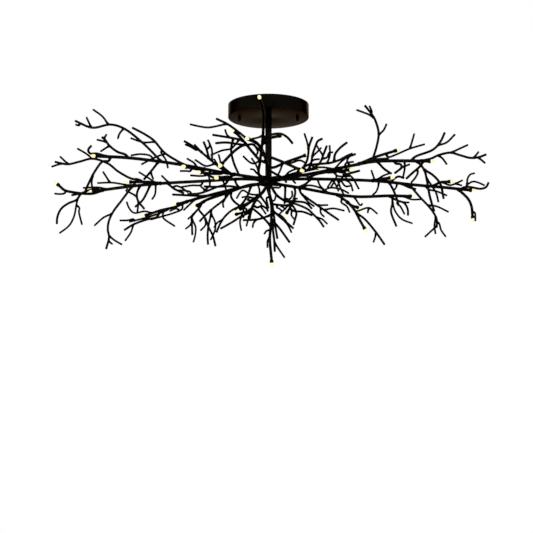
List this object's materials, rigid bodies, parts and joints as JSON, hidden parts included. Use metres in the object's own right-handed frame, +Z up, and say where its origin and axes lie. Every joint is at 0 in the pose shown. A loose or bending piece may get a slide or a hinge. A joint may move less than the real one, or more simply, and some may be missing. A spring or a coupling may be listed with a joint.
{
  "type": "mini chandelier",
  "caption": "Semi-flush ceiling light: a round canopy and short stem carry a hub of bare metal branches and twigs, with small warm lamps at the ends of the wired branches.",
  "frame": {"origin": "centre of the crossbar's two box screws, on the ceiling plane", "axes": "+Z up along the stem, the object hangs below z = 0; the picture looks along +Y with +X to the right"},
  "size_m": [0.9277, 0.6728, 0.3474],
  "materials": {
    "bronze_canopy": "semi-gloss dark bronze",
    "bronze_stem": "semi-gloss dark bronze",
    "bronze_branch": "satin dark bronze",
    "bronze_fittings": "satin dark bronze",
    "plated_steel": "zinc plated",
    "earth_green": "gloss green",
    "driver_case": "matte white",
    "warm_lens": "lit warm white"
  },
  "bodies": {
    "root": {"branch_back": "bronze_branch", "branch_back_left": "bronze_branch", "branch_back_low": "bronze_branch", "branch_back_right": "bronze_branch", "branch_drop": "bronze_branch", "branch_front": "bronze_branch", "branch_front_left": "bronze_branch", "branch_front_right": "bronze_branch", "branch_left": "bronze_branch", "branch_left_back": "bronze_branch", "branch_left_front": "bronze_branch", "branch_left_spur": "bronze_branch", "branch_right": "bronze_branch", "branch_right_back": "bronze_branch", "branch_right_front": "bronze_branch", "canopy": "bronze_canopy", "canopy_studs": "plated_steel", "cap_nuts": "bronze_fittings", "earth_screw": "earth_green", "hub": "bronze_fittings", "hub_cap": "bronze_fittings", "lamp_driver": "driver_case", "lenses_back": "warm_lens", "lenses_back_left": "warm_lens", "lenses_back_low": "warm_lens", "lenses_back_right": "warm_lens", "lenses_drop": "warm_lens", "lenses_front": "warm_lens", "lenses_front_left": "warm_lens", "lenses_front_right": "warm_lens", "lenses_left": "warm_lens", "lenses_left_back": "warm_lens", "lenses_left_front": "warm_lens", "lenses_left_spur": "warm_lens", "lenses_right": "warm_lens", "lenses_right_back": "warm_lens", "lenses_right_front": "warm_lens", "mounting_crossbar": "plated_steel", "nipple_nut": "plated_steel", "sockets_back": "bronze_fittings", "sockets_back_left": "bronze_fittings", "sockets_back_low": "bronze_fittings", "sockets_back_right": "bronze_fittings", "sockets_drop": "bronze_fittings", "sockets_front": "bronze_fittings", "sockets_front_left": "bronze_fittings", "sockets_front_right": "bronze_fittings", "sockets_left": "bronze_fittings", "sockets_left_back": "bronze_fittings", "sockets_left_front": "bronze_fittings", "sockets_left_spur": "bronze_fittings", "sockets_right": "bronze_fittings", "sockets_right_back": "bronze_fittings", "sockets_right_front": "bronze_fittings", "stem_nipple": "plated_steel", "stem_tube": "bronze_stem", "stud_nuts": "plated_steel"}
  },
  "joints": []
}
